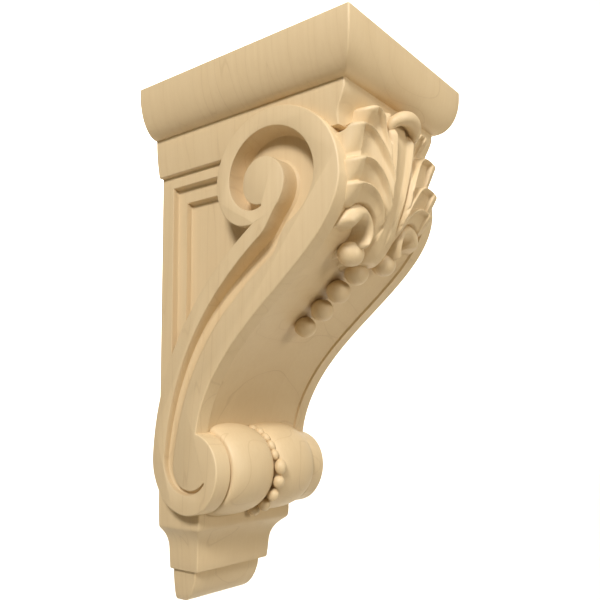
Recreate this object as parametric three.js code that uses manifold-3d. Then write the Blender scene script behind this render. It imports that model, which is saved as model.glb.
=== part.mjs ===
// Carved wooden corbel: moulded crown and neck, S-scroll cheeks, acanthus leaf, berries, roll and base.
// Millimetres. Origin at the centre of the flat back, +X right seen from the front, front to -Y, +Z up.
import * as THREE from "three";
import { mergeVertices } from "three/addons/utils/BufferGeometryUtils.js";
import Module from "manifold-3d";

const wasm = await Module();
wasm.setup();

// Heights, stacked from the foot to the top.
const baseHeight = 53;
const scrollHeight = 244.5;
const neckHeight = 25.5;
const crownHeight = 33;

// Half widths across X and reaches forward from the wall.
const neckHalf = 54.6;
const neckReach = 160.5;
const crownOverhang = 15.6;
const crownFrontOverhang = 13.8;
const crownTopRound = 1.6;
const crownFillet = 4.5; // upright band above the ovolo
const neckBatter = 2.9; // how far the neck leans in on its way down
const neckCove = 6; // extra hollow of the neck on its front
const blockHalf = 48.1;
const scrollHalf = 58;
const scrollReach = 156.5;

// Two-step sunk panels on the block's sides.
const panelStile = 10.9;
const panelRail = 9.1;
const panelSink = 6.1;
const panelStep = 5.8;
const panelStepTop = 7.8;
const innerSink = 6.4;

// Side channel of the scroll, and the hollow down its front.
const hollowDepth = 14;
const channelDepth = 4.2;
const grooveDepth = 3.6;
const frontStrip = 11;
const frontDish = 5.2;
const stripStep = 1;

// Roll between the two lower discs.
const discThickness = 13;
const barrelRadius = 31.6;
const coveRadius = 25;
const beadCount = 8;
const beadRadius = 4;
const beadPitch = 20; // degrees
const rollGap = 0.2; // the barrels just meet the shaft behind them

// Berries in the hollow down the front: a side pair, then the string down the middle. Along is the share of
// the way down the hollow, and stand is how far the centre stands off its floor, as a share of the radius.
const sideBerry = { x: 16, along: 0.2705, stand: 0.63, radius: 8.6 };
const berries = [
  { along: 0.3305, stand: 0.98, radius: 7.7 },
  { along: 0.4198, stand: 0.85, radius: 7.8 },
  { along: 0.5068, stand: 0.84, radius: 7.5 },
  { along: 0.5913, stand: 0.66, radius: 7.1 },
];

// Leaf: the ground behind it stays inside the scroll's sides, and its lobes stand this far off the ground.
const groundInset = 8;
const leafLift = 15.2;
const leafScoop = 6.5;
const lipRadius = 3.6;

const height = baseHeight + scrollHeight + neckHeight + crownHeight;
const blockTop = baseHeight + scrollHeight;
const neckTop = blockTop + neckHeight;
const middle = height / 2;

// The scroll, leaf and foot are a free form on a drawing, scaled to the sizes above. Its register marks are
// [half width, reach, height] at the foot's top, the scroll's top and the neck's top.
const register = [[48.1, 39.5, 53], [58, 156.5, 297.5], [54.6, 160.5, 323]];
const [drawnFoot, drawnTop, drawnNeck] = register.map(([, , z]) => z);
const rise = scrollHeight / (drawnTop - drawnFoot);
const neckRise = neckHeight / (drawnNeck - drawnTop);
const reachScale = scrollReach / register[1][1];
const placeX = (x) => (x * scrollHalf) / register[1][0];
const placeA = (a) => a * reachScale;
const placeZ = (z) => (z > drawnTop ? blockTop + (z - drawnTop) * neckRise : baseHeight + (z - drawnFoot) * rise);
const place = ([a, z]) => [placeA(a), placeZ(z)];

const radians = (degrees) => (degrees * Math.PI) / 180;
const clamp = (value, low, high) => Math.min(high, Math.max(low, value));
const steps = (count) => Array.from({ length: count + 1 }, (_, i) => i / count);

// Smooth step from 0 to 1 between two edges.
function ease(from, to, value) {
  const share = clamp((value - from) / (to - from), 0, 1);
  return share * share * (3 - 2 * share);
}

// Straight-line reading of a table of [key, value] pairs.
function read(table, key) {
  const last = table.length - 1;
  if (key <= table[0][0]) return table[0][1];
  if (key >= table[last][0]) return table[last][1];
  const next = table.findIndex(([k]) => k > key);
  const [k0, v0] = table[next - 1];
  const [k1, v1] = table[next];
  return v0 + ((v1 - v0) * (key - k0)) / (k1 - k0);
}

// Point of a cubic curve given by its four handles.
function cubic(handles, t) {
  const weights = [(1 - t) ** 3, 3 * (1 - t) ** 2 * t, 3 * (1 - t) * t * t, t ** 3];
  return [0, 1].map((axis) => handles.reduce((sum, p, i) => sum + weights[i] * p[axis], 0));
}

// Closed body from a geometry: position only, merged, facing out.
function bodyOf(geometry) {
  const plain = geometry.index ? geometry.toNonIndexed() : geometry;
  const bare = new THREE.BufferGeometry();
  bare.setAttribute("position", plain.getAttribute("position"));
  const merged = mergeVertices(bare, 1e-4);
  const mesh = new wasm.Mesh({
    numProp: 3,
    vertProperties: merged.attributes.position.array,
    triVerts: new Uint32Array(merged.index.array),
  });
  return new wasm.Manifold(mesh);
}

// Closed body through rings of equal length, [x, a, z] each; the end rings are capped as fans.
function loft(rings) {
  const around = rings[0].length;
  const points = rings.flat();
  const faces = [];
  for (let i = 0; i + 1 < rings.length; i++) {
    for (let j = 0; j < around; j++) {
      const next = (j + 1) % around;
      const a = i * around + j;
      const b = i * around + next;
      const c = (i + 1) * around + next;
      const d = (i + 1) * around + j;
      faces.push([a, b, c], [a, c, d]);
    }
  }
  const lastRing = (rings.length - 1) * around;
  for (let j = 1; j + 1 < around; j++) {
    faces.push([0, j + 1, j], [lastRing, lastRing + j, lastRing + j + 1]);
  }
  const corner = (face) => face.map((i) => new THREE.Vector3(points[i][0], -points[i][1],
    points[i][2] - middle));
  const volume = faces.reduce((sum, face) => {
    const [p, q, r] = corner(face);
    return sum + p.dot(q.cross(r)) / 6;
  }, 0);
  const flipped = volume < 0 ? faces.map(([p, q, r]) => [p, r, q]) : faces;
  const positions = flipped.flatMap((face) => corner(face).flatMap((v) => [v.x, v.y, v.z]));
  const geometry = new THREE.BufferGeometry();
  geometry.setAttribute("position", new THREE.BufferAttribute(new Float32Array(positions), 3));
  return bodyOf(geometry);
}

// Upright stack of rectangles with mitred corners, flat on the wall: levels of [z, half width, reach].
const stack = (levels) =>
  loft(levels.map(([z, half, reach]) => [[-half, 0, z], [-half, reach, z], [half, reach, z], [half, 0,
    z]]));

// Side outline of [a, z] points pulled straight across X.
function across(outline, fromX, toX) {
  const shape = new THREE.Shape(outline.map(([a, z]) => new THREE.Vector2(-a, z - middle)));
  const geometry = new THREE.ExtrudeGeometry(shape, { depth: toX - fromX, bevelEnabled: false });
  const turn = new THREE.Matrix4().makeBasis(
    new THREE.Vector3(0, 1, 0),
    new THREE.Vector3(0, 0, 1),
    new THREE.Vector3(1, 0, 0),
  );
  geometry.applyMatrix4(turn);
  geometry.translate(fromX, 0, 0);
  return bodyOf(geometry);
}

const join = (bodies) => bodies.reduce((sum, body) => sum.add(body));

// Crown and neck: upright band, quarter-round ovolo, then the neck leaning in.
const crownReach = neckReach + crownFrontOverhang;
const crownLevels = [[height, neckHalf + crownOverhang - crownTopRound, crownReach - crownTopRound]];
crownLevels.push([height - crownTopRound, neckHalf + crownOverhang, crownReach]);
for (const share of steps(9)) {
  const turn = radians(90 * share);
  const out = crownOverhang * Math.cos(turn);
  const z = height - crownFillet - (crownHeight - crownFillet) * Math.sin(turn);
  crownLevels.push([z, neckHalf + out, neckReach + crownFrontOverhang * Math.cos(turn)]);
}
for (const share of steps(6).slice(1)) {
  const side = neckHalf - neckBatter * share * share;
  crownLevels.push([neckTop - neckHeight * share, side, neckReach - neckCove * ease(0.1, 0.8, share)]);
}
const crown = stack(crownLevels);

// Foot: lowest block rounded under, then a hollow flaring out to the top fillet.
const footLevels = [
  [0, 30.3, 9.5],
  [2.7, 31.2, 13.6],
  [6, 31.9, 16.4],
  [10.5, 32.5, 18.9],
  [16, 33.1, 20.8],
  [21.3, 33.4, 21.4],
  [22.6, 36.6, 26.6],
  [30.5, 37.4, 27.6],
  [38, 38, 28.6],
  [42.5, 39.3, 29.7],
  [46.5, 41.6, 31.8],
  [49.8, 44.6, 34.8],
  [51.6, 46.6, 37.2],
  [53, 47.4, 38.7],
  [67, 48, 39.5],
].map(([z, half, reach]) => [(z * baseHeight) / drawnFoot, (half * blockHalf) / register[0][0],
  placeA(reach)]);
const foot = stack(footLevels);

// Block behind the scroll, with the sunk panels in its sides.
const blockSide = [[0, drawnFoot], [38, drawnFoot], [38, 120], [60, 190], [110, 236], [118,
  250]].map(place);
const blockFront = placeA(118);
blockSide.push([blockFront, blockTop + 2], [0, blockTop + 2]);
const panelTop = blockTop - panelRail;
const panelFoot = placeZ(112);
function panelOf(side) {
  const outer = [[panelStile, panelFoot], [blockFront, panelFoot], [blockFront, panelTop], [panelStile,
    panelTop]];
  const stile = panelStile + panelStep;
  const foot = panelFoot + panelStep;
  const front = blockFront - 4;
  const top = panelTop - panelStepTop;
  const inner = [[stile, foot], [front, foot], [front, top], [stile, top]];
  const face = blockHalf - panelSink;
  const spans = [[outer, face, blockHalf + 5], [inner, face - innerSink, blockHalf + 4]];
  const cuts = spans.map(([outline, low, high]) => across(outline, Math.min(side * low, side * high),
    side > 0 ? high : -low));
  return join(cuts);
}
const block = across(blockSide, -blockHalf, blockHalf).subtract(panelOf(1)).subtract(panelOf(-1));

// Scroll outline: upper volute, back edge of the shaft, lower disc, front of the shaft.
const eye = [98, 272];
const voluteRadius = [[0, 58.5], [25, 55.6], [50, 50], [90, 45.2], [180, 35.2], [225, 31], [264, 23.8]];
const backCurve = [[95.1, 248.9], [69.5, 231.9], [5.8, 183.6], [3.9, 98]];
const frontCurve = [[156.4, 267.9], [156.5, 216.3], [57.5, 188.4], [50.8, 117.8]];
const disc = [37, 94];
const discRadius = [[173, 33.3], [200, 30.8], [270, 30.4], [300, 30.4], [330, 28], [390, 27.2], [418,
  27.2]];
const polar = (centre, radius, degrees) => [
  centre[0] + radius * Math.cos(radians(degrees)),
  centre[1] + radius * Math.sin(radians(degrees)),
];
const outline = [
  ...steps(20).map((s) => polar(eye, read(voluteRadius, 264 * s), 264 * s)),
  ...steps(14).slice(1).map((s) => cubic(backCurve, s)),
  ...steps(17).slice(1, -1).map((s) => polar(disc, read(discRadius, 173 + 245 * s), 173 + 245 * s)),
  ...steps(17).map((s) => cubic(frontCurve, 1 - s)),
].map(place);
const scrollBlank = across(outline, -scrollHalf, scrollHalf);

// Side channel: round the upper eye, down the shaft and round the lower disc. Each station gives the wall's
// edge, the far edge, the depth, and how much of the width is flat floor.
const rimCurve = [[106.4, 244], [70.4, 219.8], [21.2, 179.3], [15.3, 96.1]];
const eyeRadius = [[-62, 22.2], [-30, 21], [2, 20.8], [75, 17.1], [170, 12.7], [258, 13.1], [284, 13.6]];
const ribbonRadius = [[-62, 34], [-30, 39.5], [0, 41.8], [16, 40.4], [50, 37.6], [99, 32.8], [155,
  26.4], [284, 14.6]];
const lowerEye = [41, 98];
const lowerRim = [[180, 25.6], [224, 24.2], [248, 22.2], [280, 20.2], [318, 17.6]];
const lowerEyeRadius = [[180, 16.6], [228, 19], [270, 18.3], [318, 16.8]];
const shaftWidth = [[0, 17], [0.3, 15], [0.6, 12], [1, 9]];
const shaftDepth = [[0, 1], [0.25, 0.9], [0.4, 0.62], [0.55, 0.36], [1, 0]];
function stations() {
  const list = [];
  for (const s of steps(23)) {
    const turn = 284 - 346 * s;
    const depth = hollowDepth * ease(-0.05, 0.3, s) + 0.6;
    const floor = 0.94 - 0.5 * ease(0.62, 1, s);
    const wall = polar(eye, read(eyeRadius, turn), turn);
    list.push({ wall, far: polar(eye, read(ribbonRadius, turn), turn), depth, floor });
  }
  for (const s of steps(14).slice(1)) {
    const wall = cubic(rimCurve, s);
    const ahead = cubic(rimCurve, s + 0.01);
    const run = Math.hypot(ahead[0] - wall[0], ahead[1] - wall[1]);
    const width = read(shaftWidth, s);
    const normal = [-(ahead[1] - wall[1]) / run, (ahead[0] - wall[0]) / run];
    const far = [wall[0] + normal[0] * width, wall[1] + normal[1] * width];
    const depth = channelDepth + (hollowDepth - channelDepth) * read(shaftDepth, s);
    list.push({ wall, far, depth, floor: 0.42 });
  }
  for (const s of steps(9).slice(1)) {
    const turn = 184 + 134 * s;
    const wall = polar(lowerEye, read(lowerRim, turn), turn);
    const depth = channelDepth + (grooveDepth - channelDepth) * s;
    list.push({ wall, far: polar(lowerEye, read(lowerEyeRadius, turn), turn), depth, floor: 0.6 });
  }
  return list;
}
function channelOf(side) {
  const rings = stations().map(({ wall, far, depth, floor }) => {
    const toward = (share) => place([wall[0] + (far[0] - wall[0]) * share,
      wall[1] + (far[1] - wall[1]) * share]);
    const high = scrollHalf + 1;
    const low = scrollHalf - depth;
    const rows = [[0, high], [1, high], [1, scrollHalf], [floor, low], [0.06, low]];
    return rows.map(([share, x]) => [side * x, ...toward(share)]);
  });
  return loft(rings);
}

// Dished hollow down the front between the two strips; it dies out under the leaf and behind the roll.
const dishHalf = scrollHalf - frontStrip;
const frontAt = (t) => {
  const here = cubic(frontCurve, t);
  const ahead = cubic(frontCurve, t + 0.004);
  const run = Math.hypot(ahead[0] - here[0], ahead[1] - here[1]);
  return { here, out: [-(ahead[1] - here[1]) / run, (ahead[0] - here[0]) / run] };
};
const dishDepth = (x) => stripStep + frontDish * (1 - (x / dishHalf) ** 2);
const dishRings = steps(22).map((s) => {
  const { here, out } = frontAt(0.02 + 0.97 * s);
  const at = (depth, x) => [x, ...place([here[0] - out[0] * depth, here[1] - out[1] * depth])];
  const floor = steps(8).map((share) => {
    const x = dishHalf * (2 * share - 1);
    return at(dishDepth(x), x);
  });
  return [...floor, at(-22, dishHalf), at(-22, -dishHalf)];
});

// Roll on the X axis between the discs: two barrels, coves at the discs, a bead ring in the middle.
const rollCentre = [38, 92.4];
const rollHalf = scrollHalf - discThickness;
const rollProfile = [[rollHalf + 2, coveRadius - 2], [rollHalf, coveRadius + 0.6], [rollHalf - 2.6,
  coveRadius]];
for (const share of steps(8)) {
  const x = (rollHalf - 4) * (1 - share) + (beadRadius - 0.6) * share;
  rollProfile.push([x,
    coveRadius + 1 + (barrelRadius - coveRadius - 1) * Math.sin(Math.PI * (0.08 + 0.8 * share)) ** 0.55]);
}
const halfRoll = rollProfile.map(([x, radius]) => new THREE.Vector2(radius, x));
const mirrored = halfRoll.map((p) => new THREE.Vector2(p.x, -p.y)).reverse();
const rollPoints = [new THREE.Vector2(0, rollHalf + 2), ...halfRoll, ...mirrored, new THREE.Vector2(0,
  -rollHalf - 2)];
function onRoll(geometry) {
  const [a, z] = place(rollCentre);
  geometry.rotateZ(-Math.PI / 2);
  geometry.translate(0, -a, z - middle);
  return bodyOf(geometry);
}
const roll = onRoll(new THREE.LatheGeometry(rollPoints.reverse(), 36));
const roomRadius = barrelRadius - rollGap;
const rollRoom = onRoll(new THREE.CylinderGeometry(roomRadius, roomRadius, 2 * rollHalf, 36));

// Ball at [x, a, z], stretched by its three shares.
function ball(x, a, z, radius, stretch, around, rows) {
  const geometry = new THREE.SphereGeometry(radius, around, rows);
  geometry.scale(...stretch);
  geometry.translate(x, -a, z - middle);
  return bodyOf(geometry);
}
const beads = Array.from({ length: beadCount }, (_, i) => {
  const [a, z] = polar(place(rollCentre), barrelRadius - 1.2, 62 - beadPitch * i);
  return ball(0.3, a, z, beadRadius, [0.95, 1.1, 1.1], 10, 6);
});
const seatOf = ({ along, stand, radius }, x) => {
  const { here, out } = frontAt(along);
  const lift = stand * radius - dishDepth(x);
  return place([here[0] + out[0] * lift, here[1] + out[1] * lift]);
};
const berryBalls = [
  ...berries.map((berry) => ball(0, ...seatOf(berry, 0), berry.radius, [1.05, 1, 1], 14, 9)),
  ...[-sideBerry.x, sideBerry.x].map((x) => ball(x, ...seatOf(sideBerry, x), sideBerry.radius, [1,
    0.95, 0.92], 14, 9)),
];

// Ground behind the leaf, from the neck's cove down into the swelling of the scroll.
const groundHalf = scrollHalf - groundInset;
const groundFront = [[322, 157], [318, 156.2], [313, 154.4], [308, 151.2], [303, 149.6], [297, 149.8],
  [285, 151.4], [270, 151.6]]
  .concat([[256, 149], [246, 144.2], [236, 135], [228, 124], [220, 112]]);
const groundReach = (z) => read(groundFront.slice().reverse(), z);
const groundSide = [...groundFront.map(([z, a]) => place([a, z])), place([96, 214]), place([100, 322])];
const ground = across(groundSide, -groundHalf, groundHalf);

// Acanthus leaf, drawn as [x, z]: lobes fan out from the midrib, each with a crest along its upper edge, a scoop
// below it and an end wall. Lift and scoop are shares of the leaf's own.
const lobes = [
  { root: [8, 246], peak: [35, 265.5], tip: [50, 262.5], lift: 0.76, scoop: 0.77 },
  { root: [8, 254], peak: [35, 281.5], tip: [52, 278], lift: 0.86, scoop: 0.92 },
  { root: [8, 267], peak: [36, 300.5], tip: [51, 296], lift: 1, scoop: 1 },
  { root: [9, 283], peak: [28, 313], tip: [47, 306.5], lift: 0.95, scoop: 0.77 },
];
const lobeRise = [[0, 4], [16, 3.4], [36, 0.6], [54, 0]]; // added height towards the midrib
const lobeWall = 2.6;
const lobeShoulder = 7;
const ribHalf = [[221, 3], [224, 8], [229, 11.6], [236, 11], [246, 8.6], [262, 9], [285, 11.4], [305,
  13.5], [320, 14]];
const ribReach = [[221, 138], [224, 145.5], [229, 149], [240, 156.2], [255, 161.6], [262, 164.6], [285,
  168.9], [300, 170.3], [320, 168.5]];
const ribValley = [[236, 0], [246, 0.9], [262, 1.8], [290, 2.4], [310, 2.8]];
const leafTop = 316.7;
const leafFoot = 221.5;

// Lowest lobe: a C-shaped ridge along an ellipse, with its half thickness and the reach of its crest.
const hook = [31.5, 239.5, 17.3, 15.6];
const hookThick = [[-60, 0.4], [0, 0.42], [55, 0.42], [95, 0.33], [150, 0.24], [200, 0.22], [260, 0.2]];
const hookCrest = [[-60, 152.5], [0, 155.5], [50, 158], [100, 158.5], [180, 156.5], [230, 154], [270, 151]];

function lobeAt({ root, peak, tip, lift, scoop }, x, z) {
  const edgeAt = (at) => {
    const share = clamp((at - root[0]) / (peak[0] - root[0]), 0.0001, 1);
    const inner = root[1] + (peak[1] - root[1]) * Math.sin((Math.PI / 2) * share) ** 0.75;
    return at < peak[0] ? inner : peak[1] - (peak[1] - tip[1]) * ((at - peak[0]) / (tip[0] - peak[0])) ** 2;
  };
  const slope = clamp((edgeAt(x + 1) - edgeAt(x - 1)) / 2, -3, 3);
  const below = (edgeAt(x) - z) / Math.hypot(1, slope);
  const inside = tip[0] - 0.25 * Math.max(0, tip[1] - z) - x;
  const wall = 1 - (1 - clamp((inside + lobeWall) / (lobeWall + lobeShoulder), 0, 1)) ** 4;
  const dip = leafScoop * scoop * (0.62 * ease(2, 6.5, below) + 0.38 * ease(4, 15, below)) * ease(5.5,
    9.5, inside);
  const fading = (0.3 + 0.7 * ease(2, 16, x - root[0])) * (1 - 0.5 * ease(16, 30, below));
  const lean = 0.6 * clamp(below - 2, 0, 15) * (1 - ease(0, 22, inside));
  const height = (leafLift * lift + read(lobeRise, x) - Math.max(dip * fading, lean)) * wall;
  const mask = ease(-1.3, 1.5, below) * ease(-1, 1.5, x - root[0] + 2) * ease(-lobeWall - 0.4,
    -lobeWall + 0.8, inside);
  return { height: height / reachScale, mask };
}

// Reach of the scroll's dished front at a height, where the leaf's foot lies on it.
const dishedFront = steps(60).map((s) => {
  const { here, out } = frontAt(1 - s);
  return { here, out };
});
function floorAt(x, z) {
  const depth = Math.abs(x) < dishHalf ? dishDepth(x) : 0;
  const table = dishedFront.map(({ here, out }) => [here[1] - out[1] * depth, here[0] - out[0] * depth]);
  return Math.max(groundReach(z), z < 262 ? read(table, z) : 0);
}
function leafReach(x, z) {
  const off = Math.abs(x);
  const floor = floorAt(x, z);
  const low = Math.min(groundReach(z), 152);
  let reach = floor - 2.5;
  for (const lobe of [...lobes].reverse()) {
    const { height, mask } = lobeAt(lobe, off, z);
    reach = reach * (1 - mask) + (low + height) * mask;
  }
  const ring = Math.hypot((off - hook[0]) / hook[2], (z - hook[1]) / hook[3]);
  if (ring < 1.04) {
    const angle = Math.atan2((z - hook[1]) / hook[3], (off - hook[0]) / hook[2]) * (180 / Math.PI);
    const turn = angle < -80 ? angle + 360 : angle;
    const thick = read(hookThick, turn);
    const bulge = clamp((ring - 1 + thick) / thick, -1, 1);
    const proud = Math.max(read(hookCrest, turn) - floor, 2) * Math.sqrt(1 - bulge * bulge);
    const height = proud * ease(-10, 12, turn) * ease(246, 214, turn);
    const mask = ease(1.04, 0.94, ring);
    reach = reach * (1 - mask) + (floor + (height > 0.4 ? height : -2)) * mask;
  }
  const share = off / read(ribHalf, z);
  const crest = read(ribReach, z) - read(ribValley, z) * clamp(1 - (1.3 * share) ** 2, 0, 1);
  const rib = ease(1.28, 0.92, share);
  const under = 6 * ease(300, 308, z) * ease(5, 9, off) * ease(17, 12, off);
  const base = Math.max(reach, floor + 2);
  const ridge = crest - 2.2 * ease(0.72, 1, share) ** 2;
  reach = reach * (1 - rib) + (base * (1 - rib) + ridge * rib) * rib - under;
  const hem = ease(leafFoot, leafFoot + 4, z) * ease(leafTop, leafTop - 3.5, z);
  return (floor - 2.5) * (1 - hem) + reach * hem;
}
const leafHalf = 56;
const leafColumns = steps(46).map((s) => leafHalf * (2 * s - 1));
const leafRings = steps(36).map((s) => {
  const z = leafFoot + (leafTop - leafFoot) * s;
  const front = leafColumns.map((x) => [placeX(x), ...place([leafReach(x, z), z])]);
  const back = place([groundReach(z) - 12, z]);
  return [[placeX(-46), ...back], ...front, [placeX(46), ...back]];
});
const leaf = loft(leafRings);

// Curled lip at the leaf's tip: a tapering round bent over the midrib, drawn as [x, a, z].
const lipPath = new THREE.CatmullRomCurve3(
  [[-11, 162, 301], [-12, 167, 307], [-7.5, 170.5, 311.5], [0, 171.6, 313.3], [7.5, 171, 312.3], [13,
    169, 309], [15, 165.5, 303]]
    .map(([x, a, z]) => new THREE.Vector3(placeX(x), ...place([a, z]))),
);
const lip = loft(steps(16).map((s) => {
  const centre = lipPath.getPoint(s);
  const run = lipPath.getTangent(s);
  const side = new THREE.Vector3().crossVectors(run, new THREE.Vector3(0, 1, 0)).normalize();
  const up = new THREE.Vector3().crossVectors(side, run);
  const radius = 0.5 + lipRadius * (0.72 + 0.28 * s) * Math.sin(Math.PI * clamp(s, 0.001, 0.999)) ** 0.6;
  return steps(8).slice(1).map((turn) => {
    const angle = 2 * Math.PI * turn;
    const spot = centre.clone().addScaledVector(side, radius * Math.cos(angle)).addScaledVector(up,
      radius * Math.sin(angle));
    return [spot.x, spot.y, spot.z];
  });
}));

const bare = scrollBlank.subtract(loft(dishRings)).subtract(rollRoom);
const carved = join([bare, crown, foot, block, ground]).subtract(channelOf(1)).subtract(channelOf(-1));
const whole = join([carved, leaf, lip, roll, ...beads, ...berryBalls]);

const made = whole.getMesh();
const corbelGeometry = new THREE.BufferGeometry();
const vertices = new Float32Array(made.numVert * 3);
for (let i = 0; i < made.numVert; i++) {
  vertices.set(made.vertProperties.subarray(i * made.numProp, i * made.numProp + 3), i * 3);
}
corbelGeometry.setAttribute("position", new THREE.BufferAttribute(vertices, 3));
corbelGeometry.setIndex(new THREE.BufferAttribute(new Uint32Array(made.triVerts), 1));
const maple = new THREE.MeshStandardMaterial({ name: "maple", color: 0xd9c094, roughness: 0.6 });
const corbel = new THREE.Mesh(corbelGeometry, maple);
corbel.name = "corbel";

const group = new THREE.Group();
group.add(corbel);
export default group;
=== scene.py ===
import math
import bpy
import numpy as np
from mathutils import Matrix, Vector


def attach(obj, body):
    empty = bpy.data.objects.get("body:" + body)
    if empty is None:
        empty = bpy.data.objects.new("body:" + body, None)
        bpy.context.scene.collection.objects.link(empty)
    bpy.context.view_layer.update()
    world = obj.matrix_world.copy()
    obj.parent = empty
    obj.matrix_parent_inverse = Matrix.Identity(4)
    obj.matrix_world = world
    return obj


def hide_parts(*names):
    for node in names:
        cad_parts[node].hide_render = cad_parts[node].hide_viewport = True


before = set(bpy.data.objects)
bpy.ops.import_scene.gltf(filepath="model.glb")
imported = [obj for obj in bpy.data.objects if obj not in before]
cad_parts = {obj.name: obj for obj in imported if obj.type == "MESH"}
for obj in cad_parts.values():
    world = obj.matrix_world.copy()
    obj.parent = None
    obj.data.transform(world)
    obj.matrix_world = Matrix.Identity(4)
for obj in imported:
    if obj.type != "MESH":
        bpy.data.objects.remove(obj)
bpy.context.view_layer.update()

# Carved wooden corbel. Shapes are worked out in millimetres as x, a (reach forward from the wall)
# and z (height above the foot), and turned into the model's own metres at the end.
size = {
    "height": 356.0,
    "blockHalf": 48.1,  # half widths, from the middle
    "scrollHalf": 58.0,
    "hiddenCut": 0.5,  # how much further the channel is cut into pieces that lie behind the scroll
}


def toModel(points):
    # x stays, reach a becomes -y, and z is measured from half the height.
    flat = np.asarray(points, float).reshape(-1, 3)
    return np.stack([flat[:, 0], -flat[:, 1], flat[:, 2] - size["height"] / 2], 1) / 1000


def softenBy(thing, angle):
    # Smooth shading, with an edge kept sharp where its faces meet at more than the angle.
    mesh = thing.data
    mesh.polygons.foreach_set("use_smooth", np.ones(len(mesh.polygons), bool))
    mesh.set_sharp_from_angle(angle=math.radians(angle))


def meshOf(name, points, faces, smoothAngle):
    # An object at the origin whose mesh holds the points and faces as they are given.
    mesh = bpy.data.meshes.new(name)
    mesh.from_pydata(toModel(points).tolist(), [], faces)
    mesh.validate()
    mesh.update()
    thing = bpy.data.objects.new(name, mesh)
    bpy.context.collection.objects.link(thing)
    softenBy(thing, smoothAngle)
    return thing


def ringFaces(rows, columns):
    # Four-sided faces between neighbouring rings, each ring joined back to its first point.
    i, j = np.meshgrid(np.arange(rows - 1), np.arange(columns), indexing="ij")
    nextJ = (j + 1) % columns
    low, high = i * columns, (i + 1) * columns
    return np.stack([low + j, low + nextJ, high + nextJ, high + j], -1).reshape(-1, 4)


def fan(face):
    # Triangles from a face's first corner to each of its other edges.
    return np.stack([np.full(len(face) - 2, face[0]), face[1:-1], face[2:]], 1)


def signedVolume(points, triangles):
    # A sixth of the sum, over the triangles, of the first corner dotted with the cross of the other two.
    first, second, third = (points[triangles[:, k]] for k in range(3))
    return np.einsum("ij,ij->", first, np.cross(second, third)) / 6


def loft(name, rings, smoothAngle=35.0):
    # A closed skin through rings of equal count, with a flat face on each end, turned to face outward.
    rings = np.asarray(rings, float)
    rows, columns = rings.shape[:2]
    points = rings.reshape(-1, 3)
    quads = ringFaces(rows, columns)
    firstEnd = np.arange(columns)[::-1]
    lastEnd = (rows - 1) * columns + np.arange(columns)
    triangles = np.vstack([quads[:, [0, 1, 2]], quads[:, [0, 2, 3]], fan(firstEnd), fan(lastEnd)])
    way = -1 if signedVolume(toModel(points), triangles) < 0 else 1
    faces = quads[:, ::way].tolist() + [firstEnd[::way].tolist(), lastEnd[::way].tolist()]
    return meshOf(name, points, faces, smoothAngle)


def cutAway(thing, cutters, angle=30.0):
    # The piece less all the cutters, with the result put into its mesh and the cutters removed.
    for cutter in cutters:
        step = thing.modifiers.new("cut", "BOOLEAN")
        step.operation = "DIFFERENCE"
        step.solver = "MANIFOLD"
        step.object = cutter
    graph = bpy.context.evaluated_depsgraph_get()
    mesh = bpy.data.meshes.new_from_object(thing.evaluated_get(graph))
    thing.modifiers.clear()
    thing.data = mesh
    for cutter in cutters:
        bpy.data.objects.remove(cutter)
    softenBy(thing, angle)
    return thing


def ease(low, high, value):
    # Smooth step: three squares minus two cubes of the share between low and high.
    share = np.clip((value - low) / (high - low), 0, 1)
    return share * share * (3 - 2 * share)


def cubic(handles, t):
    # Cubic curve: each handle weighted by its Bernstein polynomial.
    t = np.asarray(t, float)[:, None]
    p = np.asarray(handles, float)
    return (1 - t) ** 3 * p[0] + 3 * (1 - t) ** 2 * t * p[1] + 3 * (1 - t) * t * t * p[2] + t ** 3 * p[3]


tableReading = {
    "spread": 0.06,  # neighbourhood as a share of the table's length
    "samples": 9,
    "fade": 1.2,
}


def smoothRead(table, keys):
    # Straight lines through a table, then each key averaged over its neighbourhood with fading weights.
    table = np.asarray(table, float)
    spread = tableReading["spread"] * (table[-1, 0] - table[0, 0])
    offsets = np.linspace(-1, 1, tableReading["samples"]) * spread
    weights = 1 - np.abs(offsets) / (tableReading["fade"] * spread)
    read = np.interp(np.asarray(keys, float)[..., None] + offsets, table[:, 0], table[:, 1])
    return (read * weights).sum(-1) / weights.sum()


def plainRead(table, keys):
    # Straight lines through a table of key and value pairs.
    return np.interp(keys, *np.array(table).T)


def blur(values, width):
    # Averages along the path so that one stretch runs smoothly into the next.
    kernel = np.hanning(2 * width + 3)[1:-1]
    padded = np.pad(values, [(width, width)] + [(0, 0)] * (values.ndim - 1), mode="edge")
    flat = padded.reshape(len(padded), -1)
    columns = [np.convolve(flat[:, k], kernel / kernel.sum(), "valid") for k in range(flat.shape[1])]
    return np.stack(columns, 1).reshape(values.shape)


def polar(centre, radius, turn):
    # Centre plus radius times cosine and sine of the turn, given in degrees.
    turn = np.radians(turn)
    return np.stack([centre[0] + radius * np.cos(turn), centre[1] + radius * np.sin(turn)], 1)


def normalsOf(curve, closed=False):
    # Unit normals to the right of the direction of travel.
    run = np.roll(curve, -1, 0) - np.roll(curve, 1, 0) if closed else np.gradient(curve, axis=0)
    run /= np.linalg.norm(run, axis=1)[:, None]
    return np.stack([run[:, 1], -run[:, 0]], 1)


def forwardNormals(curve):
    # Unit normals on whichever side of the curve is further from the wall.
    out = normalsOf(curve)
    return out * np.sign(out[len(out) // 2, 0])


def even(curve, count):
    # The same closed curve with its points set at equal steps along it.
    path = np.vstack([curve, curve[:1]])
    along = np.r_[0, np.cumsum(np.linalg.norm(np.diff(path, axis=0), axis=1))]
    marks = np.linspace(0, along[-1], count, endpoint=False)
    return np.stack([np.interp(marks, along, path[:, k]) for k in range(2)], 1)


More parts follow.
